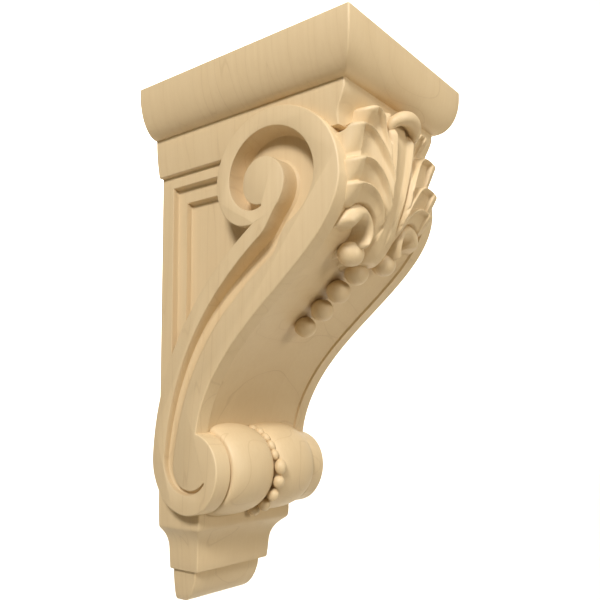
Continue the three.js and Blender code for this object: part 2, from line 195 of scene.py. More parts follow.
def ball(name, centre, radii, turnDegrees=0.0, rows=28, columns=48, lumps=0.012, seed=0):
    # Ellipsoid with a few slow ripples, so that it looks cut by hand; poles closed by the end faces.
    pole = 0.02
    v = np.linspace(pole, math.pi - pole, rows)
    u = np.linspace(0, 2 * math.pi, columns, endpoint=False)
    v, u = np.meshgrid(v, u, indexing="ij")
    ripple = 1 + lumps * (np.sin(3 * u + seed) * np.sin(v) ** 2 + np.cos(4 * v + 1.7 * seed))
    unit = [np.sin(v) * np.cos(u), np.sin(v) * np.sin(u), np.cos(v)]
    local = np.stack([radius * part for radius, part in zip(radii, unit)], -1) * ripple[..., None]
    turn = math.radians(turnDegrees)
    a = local[..., 1] * math.cos(turn) - local[..., 2] * math.sin(turn)
    z = local[..., 1] * math.sin(turn) + local[..., 2] * math.cos(turn)
    return loft(name, np.stack([local[..., 0] + centre[0], a + centre[1], z + centre[2]], -1), 60)


# Upright stack with mitred corners: the crown with its neck, and the foot.
def plan(half, reach, corner):
    # Half-rectangle in plan with rounded front corners, from the wall on the left to the wall on the right.
    turn = np.radians(np.linspace(0, 90, 6))
    left = np.stack([-half + corner * (1 - np.cos(turn)), reach - corner * (1 - np.sin(turn))], 1)
    right = np.stack([-left[::-1, 0], left[::-1, 1]], 1)
    side = np.linspace(0, reach - corner, 5)[:-1]
    front = np.linspace(-half + corner, half - corner, 7)[1:-1]
    return np.vstack([
        np.stack([np.full(len(side), -half), side], 1),
        left,
        np.stack([front, np.full(len(front), reach)], 1),
        right,
        np.stack([np.full(len(side), half), side[::-1]], 1),
    ])


def stack(name, levels, corner):
    # One plan outline at each level of height, half width and reach.
    rings = []
    for z, half, reach in levels:
        flat = plan(half, reach, corner)
        rings.append(np.column_stack([flat, np.full(len(flat), z)]))
    return loft(name, rings)


crownSize = {
    "neckHalf": 54.6,
    "neckReach": 160.5,
    "sideOverhang": 15.6,
    "frontOverhang": 13.8,
    "neckTop": 323.0,
    "neckFoot": 297.5,
    "fillet": 4.5,  # upright band over the ovolo
    "topRound": 1.6,
    "batter": 2.9,
    "cove": 6.0,
    "coveSpan": [0.1, 0.8],  # part of the neck's height that the cove takes
    "tuck": [0.5, 0.8, 1.0],  # the last ring lies this far down, in and back, inside the block
    "corner": 1.1,
}


def makeCrown():
    # Quarter round on top, quarter ellipse for the ovolo, then the neck drawn in by a square and a step.
    c = crownSize
    top = size["height"]
    fillet = top - c["fillet"]
    levels = []
    for turn in np.radians(np.linspace(90, 0, 6)):
        back = c["topRound"] * (1 - math.cos(turn))
        z = top - c["topRound"] * (1 - math.sin(turn))
        half, reach = c["neckHalf"] + c["sideOverhang"] - back, c["neckReach"] + c["frontOverhang"] - back
        levels.append([z, half, reach])
    for turn in np.radians(np.linspace(0, 90, 30)):
        z = fillet - (fillet - c["neckTop"]) * math.sin(turn)
        half = c["neckHalf"] + c["sideOverhang"] * math.cos(turn)
        levels.append([z, half, c["neckReach"] + c["frontOverhang"] * math.cos(turn)])
    for share in np.linspace(0, 1, 18)[1:]:
        z = c["neckTop"] - (c["neckTop"] - c["neckFoot"]) * share
        half = c["neckHalf"] - c["batter"] * share ** 2
        levels.append([z, half, c["neckReach"] - c["cove"] * float(ease(*c["coveSpan"], share))])
    down, inward, back = c["tuck"]
    levels.append([c["neckFoot"] - down, levels[-1][1] - inward, levels[-1][2] - back])
    return cutAway(stack("crown", levels, c["corner"]), channelCutters(size["hiddenCut"]))


footSize = {
    "corner": 1.0,
    # height, half width and reach
    "levels": [
        [0, 29.6, 9.0], [0.7, 30.3, 10.6], [2.7, 31.2, 13.6], [6, 31.9, 16.4], [10.5, 32.5, 18.9],
        [16, 33.1, 20.8], [20.8, 33.4, 21.4], [21.6, 33.8, 22.2], [22.0, 35.6, 25.2], [22.4, 36.4, 26.4],
        [23.4, 36.8, 26.9], [30.5, 37.4, 27.6], [36, 37.7, 28.1], [40, 38.3, 28.8], [43.5, 39.6, 30.1],
        [46.5, 41.4, 31.9], [49.3, 43.9, 34.4], [51.2, 46.1, 36.8], [52.2, 47.1, 38.0], [53.6, 47.5, 38.9],
        [56, 47.7, 39.2], [67, 48.0, 39.5],
    ],
}


def makeFoot():
    # The levels joined from the bottom up.
    return stack("foot", footSize["levels"], footSize["corner"])


panelSize = {
    # side of the block as reach and height, from the lower back corner round to the upper one
    "side": [[0, 66.9], [38, 66.9], [38, 120], [60, 190], [110, 236], [118, 250], [118, 297.1], [0, 297.1]],
    "arris": [[0, 0.7], [0.25, 0.2], [0.7, 0]],  # step in from the side and step back from the front
    "stile": 10.9,
    "railFoot": 112.0,
    "top": 288.4,
    "front": 118.0,
    "topStretch": 1.25,  # the mouldings are this much wider along the top
    # sink of the panel against the inset from its edge: two steps, each with a soft foot
    "profile": [
        [-1.0, -0.8], [-0.4, -0.2], [0.0, 0.2], [0.2, 0.8], [0.3, 3.9], [0.7, 4.6], [1.4, 4.8],
        [8.0, 4.9], [8.6, 5.1], [8.85, 5.7], [9.1, 8.8], [9.6, 9.5], [10.8, 9.8],
    ],
}


def makeBlock():
    # The side's outline carried across the width, less a stepped pyramid of rectangles on each side.
    p = panelSize
    half = size["blockHalf"]
    across = [(-half + step, inset) for step, inset in p["arris"]]
    across += [(-x, inset) for x, inset in across[::-1]]
    rings = []
    for x, inset in across:
        ring = np.array(p["side"], float)
        ring[[1, 2], 0] -= inset
        rings.append(np.column_stack([np.full(len(ring), x), ring]))
    block = loft("block", rings)
    cutters = []
    for flip in (-1, 1):
        rings = []
        for inset, sink in p["profile"]:
            low, high = p["stile"] + inset, p["front"]
            foot, top = p["railFoot"] + inset, p["top"] - inset * p["topStretch"]
            x = flip * (half - sink)
            rings.append([[x, low, foot], [x, high, foot], [x, high, top], [x, low, top]])
        cutters.append(loft("panelCut", rings))
    return cutAway(block, cutters + channelCutters(size["hiddenCut"]))


# Scroll: its side outline, the channel cut along each side and the dished front.
scrollSize = {
    # centres and curves are reach and height; radius tables are read by turn in degrees
    "eye": [98, 272],
    "voluteTurns": [0, 264],
    "voluteRadius": [
        [0, 60.8], [25, 57.6], [50, 52.0], [90, 45.0], [135, 39.8], [180, 35.2], [225, 31], [264, 24.6],
    ],
    "backCurve": [[95.1, 248.9], [69.5, 231.9], [5.8, 183.6], [3.9, 98]],
    "frontCurve": [[158.8, 267.9], [157.6, 216.3], [56.4, 188.4], [45.2, 116.8]],
    "disc": [37, 94],
    "discTurns": [173, 430],
    "discRadius": [[173, 33.3], [200, 30.8], [270, 30.4], [300, 30.4], [330, 28.4], [390, 26.6], [430, 24.2]],
    "roundEdge": 1.0,
    # channel: the wall stands beside the eye, the far edge beside the rim
    "rimCurve": [[106.4, 244], [70.4, 219.8], [21.2, 179.3], [15.3, 96.1]],
    "eyeTurns": [284, -62],
    "eyeRadius": [[-62, 22.2], [-30, 21], [2, 20.8], [75, 17.1], [170, 12.7], [258, 13.1], [284, 13.9]],
    "ribbonRadius": [
        [-62, 34], [-30, 40.5], [0, 43.8], [16, 42.6], [50, 38.8], [99, 33], [155, 26.4], [220, 19.4],
        [284, 14.3],
    ],
    "lowerEye": [41, 98],
    "lowerTurns": [184, 318],
    "lowerRim": [[180, 25.6], [224, 24.2], [248, 22.2], [280, 20.2], [318, 17.6]],
    "lowerEyeRadius": [[180, 16.6], [228, 19], [270, 18.3], [318, 16.8]],
    "shaftWidth": [[0, 17], [0.3, 16], [0.6, 13], [1, 9]],
    "shaftDepth": [[0, 1], [0.25, 0.9], [0.4, 0.62], [0.55, 0.36], [1, 0]],
    "hollow": 14.0,  # depths in the volute, along the shaft and at the lower end
    "hollowSpan": [-0.05, 0.3],
    "hollowLeast": 0.5,
    "channel": 4.2,
    "groove": 3.6,
    # flat share of the channel's floor: in the volute, lost by its end, along the shaft, won back below
    "floor": {"volute": 0.95, "loss": 0.5, "lossSpan": [0.62, 1], "shaft": 0.45, "gain": 0.2},
    "flare": [1.0, 0.3],  # rounding of the channel's lip: at most, and as a share of the depth
    "above": 2.0,  # the cutter starts this far outside the side
    # front: a strip along each edge, a step down from it, and a dish between them
    "strip": 11.0,
    "stripStep": 1.0,
    "stepRun": 0.35,
    "dish": 5.2,
    "scribe": 0.8,  # fine line cut along the foot of the strip, its place and its half width
    "scribeAt": 0.6,
    "scribeHalf": 0.4,
}


def scrollOutline():
    # Volute, back of the shaft, lower disc and front of the shaft, end to end.
    s = scrollSize
    turn = np.linspace(*s["voluteTurns"], 150)
    volute = polar(s["eye"], smoothRead(s["voluteRadius"], turn), turn)
    turn = np.linspace(*s["discTurns"], 116)
    disc = polar(s["disc"], smoothRead(s["discRadius"], turn), turn)
    back = cubic(s["backCurve"], np.linspace(0, 1, 90))
    front = cubic(s["frontCurve"], np.linspace(1, 0, 110))
    return [volute, back, disc[2:-2], front[:-1]]


def channelStations():
    # Wall edge, far edge, depth and flat share of the floor, down the whole channel.
    s = scrollSize
    flat = s["floor"]
    share = np.linspace(0, 1, 96)
    start, end = s["eyeTurns"]
    turn = start + (end - start) * share
    wall = [polar(s["eye"], smoothRead(s["eyeRadius"], turn), turn)]
    far = [polar(s["eye"], smoothRead(s["ribbonRadius"], turn), turn)]
    depth = [s["hollow"] * ease(*s["hollowSpan"], share) + s["hollowLeast"]]
    floor = [flat["volute"] - flat["loss"] * ease(*flat["lossSpan"], share)]
    t = np.linspace(0, 1, 80)[1:]
    rim = cubic(s["rimCurve"], t)
    wall.append(rim)
    far.append(rim - normalsOf(rim) * smoothRead(s["shaftWidth"], t)[:, None])
    depth.append(s["channel"] + (s["hollow"] - s["channel"]) * smoothRead(s["shaftDepth"], t))
    floor.append(np.full(len(t), flat["shaft"]))
    share = np.linspace(0, 1, 40)[1:]
    start, end = s["lowerTurns"]
    turn = start + (end - start) * share
    wall.append(polar(s["lowerEye"], smoothRead(s["lowerRim"], turn), turn))
    far.append(polar(s["lowerEye"], smoothRead(s["lowerEyeRadius"], turn), turn))
    depth.append(s["channel"] + (s["groove"] - s["channel"]) * share)
    floor.append(flat["shaft"] + flat["gain"] * share)
    return np.vstack(wall), np.vstack(far), np.concatenate(depth), np.concatenate(floor)


def channelCutter(side, deeper):
    # At each station a closed section: offset from the wall towards the far edge, and sink below the side.
    s = scrollSize
    wall, far, depth, floor = [blur(part, 4) for part in channelStations()]
    across = far - wall
    width = np.linalg.norm(across, axis=1)
    unit = across / width[:, None]
    slope = width * (1 - floor)  # part of the width that rises from the floor to the far edge
    flare = np.minimum(s["flare"][0], depth * s["flare"][1])
    level = np.zeros(len(depth))
    above = level - s["above"] - deeper
    section = [
        (-flare * 1.6, above),
        (width + flare * 1.6, above),
        (width + flare * 0.9, level),
        (width + flare * 0.2, flare * 0.35),
        (width - slope * 0.25, depth * 0.3),
        (width * floor + slope * 0.35, depth * 0.78),
        (width * floor * 0.93, depth * 0.97),
        (width * floor * 0.5, depth),
        (width * 0.04 + 1.0, depth * 0.985),
        (level + 0.35, depth * 0.88),
        (level + 0.15, depth * 0.6),
        (level + 0.02, flare * 0.9),
        (-flare * 0.3, flare * 0.3),
        (-flare * 0.9, level),
    ]
    half = size["scrollHalf"] - deeper
    rings = []
    for offset, sink in section:
        rings.append(np.column_stack([side * (half - sink), wall + unit * offset[:, None]]))
    return loft("channelCut", np.stack(rings, 1))


def channelCutters(deeper=0.0):
    # The same channel on both sides.
    return [channelCutter(1, deeper), channelCutter(-1, deeper)]


def dishCutter():
    # Across the front: a step beside the strip, a parabola between the strips, a narrow bell for the line.
    s = scrollSize
    clear, low, high = 0.6, 0.4, 20  # how far the cutter stands past the dish at the sides and in front
    curve = cubic(s["frontCurve"], np.linspace(0.01, 0.995, 90))
    out = forwardNormals(curve)
    half = size["scrollHalf"] - s["strip"]
    x = half * np.sin(np.linspace(-1, 1, 49) * math.pi / 2)
    inward = half - np.abs(x)
    sink = s["stripStep"] * ease(0.0, s["stepRun"], inward) + s["dish"] * (1 - (x / half) ** 2)
    sink = sink + s["scribe"] * np.exp(-((inward - s["scribeAt"]) / s["scribeHalf"]) ** 2)
    outline = [(x[k], -sink[k]) for k in range(len(x))]
    outline += [(half + clear, low), (half + clear, high), (-half - clear, high), (-half - clear, low)]
    rings = [np.column_stack([np.full(len(curve), place), curve + out * lift]) for place, lift in outline]
    return loft("dishCut", np.stack(rings, 1))


def makeScroll():
    # The outline carried across the width with rounded edges, less channels, dish and the roll's room.
    r = scrollSize["roundEdge"]
    outline = even(np.vstack(scrollOutline()), 620)
    out = normalsOf(outline, closed=True)
    if ((outline - outline.mean(0)) * out).sum() < 0:
        out = -out
    half = size["scrollHalf"]
    turns = np.radians([90, 60, 35, 12, 0])
    edge = [(-half + r * (1 - math.sin(turn)), r * (1 - math.cos(turn))) for turn in turns]
    edge += [(-x, inset) for x, inset in edge[::-1]]
    rings = [np.column_stack([np.full(len(outline), x), outline - out * inset]) for x, inset in edge]
    blank = loft("scroll", rings)
    sector = np.linspace(*rollSize["roomTurns"], 90)
    arc = polar(rollSize["centre"], rollSize["barrel"] - rollSize["overlap"], sector)
    arc = np.vstack([arc, rollSize["centre"]])
    wide = half - rollSize["disc"]
    room = loft("rollRoom", [np.column_stack([np.full(len(arc), x), arc]) for x in (-wide, wide)])
    return cutAway(blank, channelCutters() + [dishCutter(), room])


# Roll between the lower discs, with its beads.
rollSize = {
    "centre": [38, 92.4],
    "disc": 13.0,
    "roomTurns": [-150, 64],  # sector of the scroll that is cut away for the roll
    "overlap": 0.25,  # the roll stands this far in the room's wall
    "barrel": 31.6,
    "bulge": 6.2,
    "fullness": 0.62,
    "barrelEnds": [1.6, 2.6],  # from the disc's face, and from the middle
    "cove": [[2, 1.0], [2, 24.0], [0, 24.8], [-0.8, 24.3]],  # from the disc's face, and radius
    "ring": [[2.2, -0.4], [1.4, 0.2], [0, 0.5]],  # from the middle, and over the barrel's foot
    "bead": {"turns": [2, -17.5, -37.5, -58, -78], "x": 1.0, "sunk": 1.0, "radii": [4.0, 4.2, 4.5],
             "firstLong": 5.6, "grid": [20, 32]},
    # worn-down beads over the top of the roll
    "slightBead": {"turns": [20, 35, 50, 65, 80], "x": 0.6, "sunk": 4.4, "radii": [2.9, 3.0, 4.0],
                   "firstLong": 4.0, "grid": [16, 24]},
    "beadLumps": 0.02,
}


def makeRoll():
    # Half profile from the disc to the middle, then mirrored: a cove, a full barrel and a narrow ring.
    r = rollSize
    half = size["scrollHalf"] - r["disc"]
    outer, inner = half - r["barrelEnds"][0], r["barrelEnds"][1]
    middle, wide = (outer + inner) / 2, (outer - inner) / 2
    foot = r["barrel"] - r["bulge"]
    turn = np.linspace(0, math.pi, 60)
    barrel = np.stack([middle + wide * np.cos(turn), foot + r["bulge"] * np.sin(turn) ** r["fullness"]], 1)
    profile = np.vstack([np.array(r["cove"]) + [half, 0], barrel, np.array(r["ring"]) + [0, foot]])
    profile = np.vstack([profile, (profile * [-1, 1])[::-1][1:]])
    turn = np.linspace(0, 360, 160, endpoint=False)
    rings = []
    for x, radius in profile:
        rings.append(np.column_stack([np.full(len(turn), x), polar(r["centre"], radius, turn)]))
    return loft("roll", rings, 40)


def makeBeads():
    # Small lumpy balls at given turns round the roll, the first of each row a little longer.
    r = rollSize
    made = []
    for name in ("bead", "slightBead"):
        b = r[name]
        for i, turn in enumerate(b["turns"]):
            a, z = polar(r["centre"], np.array([r["barrel"] - b["sunk"]]), np.array([turn]))[0]
            radii = b["radii"][:2] + [b["firstLong"] if i == 0 else b["radii"][2]]
            made.append(ball("%s%d" % (name, i), [b["x"], a, z], radii, turn, *b["grid"], r["beadLumps"], i))
    return made


# Berries: a string of four under the leaf, and one under each hook.
berrySize = {
    "string": [[132.6, 220.4, 7.7], [118.6, 210.2, 7.9], [105.2, 199.0, 7.6], [91.2, 188.6, 7.2]],
    "stretch": [1.06, 1.0, 0.98],
    "stringLumps": 0.014,
    "side": [19.4, 141.0, 228.6],
    "sideRadii": [9.2, 8.2, 7.8],
    "sideLumps": 0.012,
    "sideSeed": 5,
    "grid": [32, 56],
}


def makeBerries():
    # Ellipsoids, each a multiple of its own radius along the string.
    b = berrySize
    made = []
    for i, (a, z, r) in enumerate(b["string"]):
        radii = [r * stretch for stretch in b["stretch"]]
        made.append(ball("berry%d" % i, [0, a, z], radii, 0, *b["grid"], b["stringLumps"], i))
    x, a, z = b["side"]
    for side, name in ((-1, "sideBerryL"), (1, "sideBerryR")):
        place = [side * x, a, z]
        made.append(ball(name, place, b["sideRadii"], 0, *b["grid"], b["sideLumps"], b["sideSeed"]))
    return made


# Ground behind the leaf, with a small hollow on each side beside the rim of the volute.
groundSize = {
    "half": 50.0,
    "corner": 2.0,
    "span": [215, 322],
    "back": 95,
    # reach of the front by height
    "front": [
        [214, 100], [220, 112], [228, 124], [236, 135], [246, 144.2], [256, 149], [270, 151.6], [285, 151.4],
        [297, 149.8], [303, 149.6], [308, 151.2], [313, 154.4], [318, 156.2], [322, 157],
    ],
    "pocket": {"x": 50.0, "centre": [152.5, 296.8], "radii": [7.0, 8.0, 4.4]},
}


def groundReach(z):
    # The table of the front, read smoothly.
    return smoothRead(groundSize["front"], z)


def pocketCutters():
    # An ellipsoid on each side of the middle.
    p = groundSize["pocket"]
    return [ball("pocketCut", [side * p["x"], *p["centre"]], p["radii"], 0, 16, 24, 0.0) for side in (-1, 1)]


def makeGround():
    # One plan outline at each height, with its sides starting well in front of the wall.
    g = groundSize
    rings = []
    for z in np.linspace(*g["span"], 60):
        flat = plan(g["half"], float(groundReach(z)), g["corner"])
        flat[:, 1] = np.maximum(flat[:, 1], g["back"])
        rings.append(np.column_stack([flat, np.full(len(flat), z)]))
    return cutAway(loft("leafGround", rings), channelCutters(size["hiddenCut"]) + pocketCutters())


# Leaf: a surface of reach over x and height, made of lobes, a hook on each side and a midrib.
leafSize = {
    "half": 55,
    "span": [221.5, 318],
    "narrow": [290, 299, 0.13],  # between these heights the grid draws in by this share, to clear the neck
    "backHalf": 46,
    "thick": 12,
    "groundMost": 152.0,
    "sunk": 2.5,  # where there is no carving the surface lies this far inside the ground
    "ends": {"low": [221.5, 225], "high": [318, 314.5]},  # heights over which the leaf sinks away
    "under": {"z": [300, 308], "near": [5.0, 9.0], "off": [17, 12], "depth": 3.5},  # hollow under the lip
    "lobes": [
        {"root": [8, 246], "peak": [33.5, 265.5], "tip": [48.5, 263], "lift": 14.5, "scoop": 6.2},
        {"root": [8, 254], "peak": [35, 280], "tip": [50, 276.5], "lift": 16.4, "scoop": 7.2},
        {"root": [8, 267], "peak": [36, 300], "tip": [49.5, 297.5], "lift": 17.6, "scoop": 7.6},
        {"root": [9, 283], "peak": [27, 313.5], "tip": [36.5, 311], "lift": 16.2, "scoop": 6.0},
    ],
    "foot": [[12, 225], [20, 234], [29, 247], [40, 250.5], [60, 251]],  # lower edge of the lobes
    "rise": [[0, 1.6], [16, 1.2], [36, 0.2], [54, 0.0]],  # added height towards the midrib
    "hook": {
        "centre": [29.8, 239.5],
        "radii": [15.6, 15.6],
        "thick": [[-60, 0.4], [0, 0.42], [55, 0.42], [95, 0.33], [150, 0.24], [200, 0.21], [260, 0.19]],
        "crest": [[-60, 152.5], [0, 155.5], [50, 158], [100, 158.5], [180, 156.5], [230, 154], [270, 151]],
        "seam": -80,  # turn at which the angles start over
        "nose": [2, 24],  # rounding of the thick end, in degrees
        "tail": [246, 216],
        "least": 2.0,
        "edge": [1.02, 0.98],
        "fade": [0.3, -2.0],  # a ridge lower than the first drops to the second, inside the ground
    },
    "ribHalf": [
        [208, 0], [214, 0], [221, 4], [224, 8.5], [229, 12.2], [236, 11], [246, 8.6], [262, 9], [285, 11.4],
        [305, 13.5], [320, 14],
    ],
    "ribRidge": [[239, 1.0], [250, 4.0], [262, 6.5], [285, 9.1], [305, 10.5], [320, 11]],
    "ribReach": [
        [208, 118], [214, 124], [221, 140], [224, 146], [229, 150.0], [240, 156.2], [255, 161.6],
        [262, 164.6], [285, 168.9], [300, 170.3], [320, 168.5],
    ],
    "ribValley": [[236, 0], [246, 1.2], [262, 2.3], [290, 3.0], [310, 3.2]],
    "ribShoulder": [0.72, 1.0, 2.2],  # shares of the half width over which the edge drops, and its drop
    "ribRound": [243, 228, 4.5],  # the lower end rounds over by this much
    "ribEdge": [1.24, 0.96],
    "ribSeat": 2.0,  # beside the midrib the leaf stands at least this far out
    "valleyEdge": 1.3,
}

lobeCut = {
    "wall": 2.6,  # outward slope of each lobe's outer end
    "shoulder": 7.0,  # from a lobe's outer end in to the edge of its scoop
    "arch": 0.75,  # fullness of the crest between root and peak
    "slant": 0.07,  # how far the outer end draws in for each millimetre below the tip
    "slantLength": 1.03,
    "crestEdge": [-0.5, 0.6],
    "rootEdge": [-1, 1.5],
    "rootStart": [2, 1.2],  # the lobe begins this far inside its root, and how steeply
    "footEdge": [-1.2, 1.2],
    "endEdge": [-0.4, 0.8],
    "scoopEnd": [-1.0, 1.4],
    "crestRound": [3.0, 0.8],  # width of the rounding along the crest, and the height it starts from
    "scoopWall": [1.3, 3.6, 0.66],  # distances below the crest, and share of the scoop's depth
    "scoopBed": [3, 14, 0.34],
    "scoopRoot": [2, 14, 0.35],
    "scoopFoot": [16, 30, 0.5],
    "lean": [0.6, 15, 22],  # fall below the crest near the outer end
}


def floorReach(x, z):
    # The ground, or the dished front of the scroll where that stands further out.
    s = scrollSize
    curve = cubic(s["frontCurve"], np.linspace(0, 1, 400))[::-1]
    out = forwardNormals(curve)
    half = size["scrollHalf"] - s["strip"]
    depth = np.where(np.abs(x) < half, s["stripStep"] + s["dish"] * (1 - np.clip(x / half, -1, 1) ** 2), 0)
    rise = curve[:, 1]
    there = z + np.interp(z, rise, out[:, 1]) * depth
    reach = np.interp(there, rise, curve[:, 0]) - np.interp(there, rise, out[:, 0]) * depth
    dishTop = 262
    return np.maximum(groundReach(z), np.where(z < dishTop, reach, 0))


def lobeField(lobe, off, z):
    # Height over the ground and mask of one lobe: a rounded crest along its upper edge, a scoop inside it
    # that reaches the outer end, and an end wall that slopes outward.
    (x0, z0), (x1, z1), (x2, z2) = lobe["root"], lobe["peak"], lobe["tip"]
    c = lobeCut
    wide, shoulder = c["wall"], c["shoulder"]
    share = np.clip((off - x0) / (x1 - x0), 1e-4, 1)
    inner = z0 + (z1 - z0) * np.sin(math.pi / 2 * share) ** c["arch"]
    outer = z1 - (z1 - z2) * np.clip((off - x1) / (x2 - x1), 0, None) ** 2
    edge = np.where(off < x1, inner, outer)
    slope = np.gradient(edge, axis=1) / np.maximum(np.gradient(off, axis=1), 1e-6)
    below = (edge - z) / np.sqrt(1 + slope ** 2)
    inside = (x2 - c["slant"] * np.maximum(0, z2 - z) - off) / c["slantLength"]
    wall = 1 - (1 - np.clip((inside + wide) / (wide + shoulder), 0, 1)) ** 4
    before, steep = c["rootStart"]
    mask = ease(*c["crestEdge"], below) * ease(*c["rootEdge"], (off - x0 + before) / steep)
    mask = mask * ease(*c["footEdge"], z - plainRead(leafSize["foot"], off))
    top = lobe["lift"] + plainRead(leafSize["rise"], off)
    roundWide, start = c["crestRound"]
    near = np.clip(below / roundWide, 0, 1)
    top = top * (start + (1 - start) * np.sqrt(near * (2 - near)))
    low, high, part = c["scoopWall"]
    scoop = part * ease(low, high, below)
    low, high, part = c["scoopBed"]
    scoop = lobe["scoop"] * (scoop + part * ease(low, high, below))
    low, high = c["scoopEnd"]
    scoop = scoop * ease(shoulder + low, shoulder + high, inside)
    low, high, part = c["scoopRoot"]
    scoop = scoop * (part + (1 - part) * ease(low, high, off - x0))
    low, high, part = c["scoopFoot"]
    scoop = scoop * (1 - part * ease(low, high, below))
    fall, most, span = c["lean"]
    lean = fall * np.clip(below - 2, 0, most) * (1 - ease(0, span, inside))
    low, high = c["endEdge"]
    return (top - np.maximum(scoop, lean)) * wall, mask * ease(-wide + low, -wide + high, inside)


def hookField(off, z, floor):
    # The lowest lobe curls round a hollow like a C: a half-round ridge along an ellipse, thick at one end.
    h = leafSize["hook"]
    (cx, cz), (rx, rz) = h["centre"], h["radii"]
    across, up = (off - cx) / rx, (z - cz) / rz
    ring = np.hypot(across, up)
    turn = np.degrees(np.arctan2(up, across))
    turn = np.where(turn < h["seam"], turn + 360, turn)
    thick = plainRead(h["thick"], turn)
    crest = plainRead(h["crest"], turn)
    nose = np.clip((turn + h["nose"][0]) / h["nose"][1], 0, 1)
    gate = np.sqrt(1 - (1 - nose) ** 2) * ease(*h["tail"], turn)
    bulge = np.clip((ring - (1 - thick)) / thick, -1, 1)
    ridge = np.maximum(crest - floor, h["least"]) * np.sqrt(1 - bulge ** 2) * gate
    least, inside = h["fade"]
    return np.where(ridge > least, ridge, inside), ease(*h["edge"], ring)


def leafField(x, z):
    # Lobes laid over each other from the top down, then the hook, the midrib and the hollow under the lip.
    v = leafSize
    off = np.abs(x)
    ground = np.minimum(groundReach(z), v["groundMost"])
    floor = floorReach(x, z)
    reach = floor - v["sunk"]
    for lobe in v["lobes"][::-1]:
        height, mask = lobeField(lobe, off, z)
        reach = reach * (1 - mask) + (ground + height) * mask
    height, mask = hookField(off, z, floor)
    reach = reach * (1 - mask) + (floor + height) * mask
    share = off / smoothRead(v["ribHalf"], z)
    ridge = smoothRead(v["ribRidge"], z)
    valley = smoothRead(v["ribValley"], z) * ease(0, 1, v["valleyEdge"] * (1 - (off / ridge) ** 2))
    low, high, drop = v["ribShoulder"]
    crest = smoothRead(v["ribReach"], z) - valley - drop * ease(low, high, share) ** 2
    low, high, drop = v["ribRound"]
    crest = crest - drop * ease(low, high, z) * np.clip(share, 0, 1) ** 2
    mask = ease(*v["ribEdge"], share)
    base = np.maximum(reach, floor + v["ribSeat"])
    reach = reach * (1 - mask) + (base * (1 - mask) + crest * mask) * mask
    hollow = v["under"]
    under = ease(*hollow["z"], z) * ease(*hollow["near"], off) * ease(*hollow["off"], off)
    hem = ease(*v["ends"]["low"], z) * ease(*v["ends"]["high"], z)
    return (floor - v["sunk"]) * (1 - hem) + (reach - hollow["depth"] * under) * hem


def makeLeaf():
    # The right half's reach is worked out and mirrored, and two points behind the ground close each row.
    v = leafSize
    z = np.linspace(*v["span"], 194)
    gx, gz = np.meshgrid(np.linspace(-v["half"], v["half"], 229), z)
    low, high, part = v["narrow"]
    gx = gx * (1 - part * ease(low, high, gz))
    reach = np.empty_like(gx)
    right = gx[0] >= 0
    reach[:, right] = leafField(gx[:, right], gz[:, right])
    reach[:, ~right] = reach[:, right][:, ::-1][:, :(~right).sum()]
    rings = []
    for k in range(len(z)):
        front = np.column_stack([gx[k], reach[k], gz[k]])
        back = float(groundReach(z[k])) - v["thick"]
        rings.append(np.vstack([[[-v["backHalf"], back, z[k]]], front, [[v["backHalf"], back, z[k]]]]))
    return cutAway(loft("leaf", np.array(rings)), pocketCutters(), 50)


tipSize = {
    "path": [
        [-11, 162, 301], [-12, 167, 308], [-7.5, 170.5, 311.5], [0, 171.6, 313.3], [7.5, 171, 312.3],
        [13, 169, 309], [15, 165.5, 304],
    ],
    "end": 0.8,  # radius at the ends
    "swell": 3.2,
    "growth": 1.5,  # extra radius towards the far end
    "taper": 0.6,
    "tall": 1.1,
}


def makeTip():
    # Curled lip of the leaf's tip: a tapering round bent over the midrib.
    p = tipSize
    path = np.array(p["path"], float)
    t = np.linspace(0, 1, len(path))
    s = np.linspace(0, 1, 60)
    line = blur(np.stack([np.interp(s, t, path[:, k]) for k in range(3)], 1), 6)
    run = np.gradient(line, axis=0)
    run /= np.linalg.norm(run, axis=1)[:, None]
    side = np.cross(run, [0.0, 1.0, 0.0])
    side /= np.linalg.norm(side, axis=1)[:, None]
    up = np.cross(side, run)
    bulge = np.sin(math.pi * np.clip(s, 0.001, 0.999)) ** p["taper"]
    radius = p["end"] + (p["swell"] + p["growth"] * s) * bulge
    turn = np.linspace(0, 2 * math.pi, 28, endpoint=False)[None, :, None]
    section = np.cos(turn) * side[:, None] + np.sin(turn) * up[:, None] * p["tall"]
    return loft("leafTip", line[:, None] + radius[:, None, None] * section, 60)


print("corbel: shapes")
scroll = makeScroll()
crown = makeCrown()
foot = makeFoot()
block = makeBlock()
roll = makeRoll()
ground = makeGround()
leaf = makeLeaf()
tip = makeTip()
pieces = [scroll, crown, foot, block, roll, ground, leaf, tip] + makeBeads() + makeBerries()

# Pale maple, grain running up the piece: board tones, growth lines, fibre.
woodLook = {
    "light": (0.74, 0.58, 0.36, 1),
    "dark": (0.66, 0.49, 0.28, 1),
    "line": (0.42, 0.27, 0.13, 1),
    "board": 43.0,  # width of the glued boards
    "boardStrength": 0.3,
    "growth": (12, 60, 3.0),  # how fast the growth lines change across, outwards and upwards, per metre
    "growthTilt": 7,
    "growthDetail": 0.6,
    "growthLines": 7.0,
    "lineWidth": 0.035,
    "lineStrength": 0.3,
    "lateStrength": 0.35,  # darker wood beside each growth line
    "patch": (9, 9, 2.5),  # slow patches in which the growth lines fade
    "patchGain": 1.6,
    "patchLift": -0.3,
    "fibre": (520, 520, 14),
    "fibreDetail": 3.0,
    "fibreStrength": 0.5,
    "roughness": 0.5,
    "waver": (60, 60, 60),  # slight unevenness left by the tools
    "waverStrength": 0.6,
    "bump": 0.12,
    "bumpHeight": 0.0008,
}


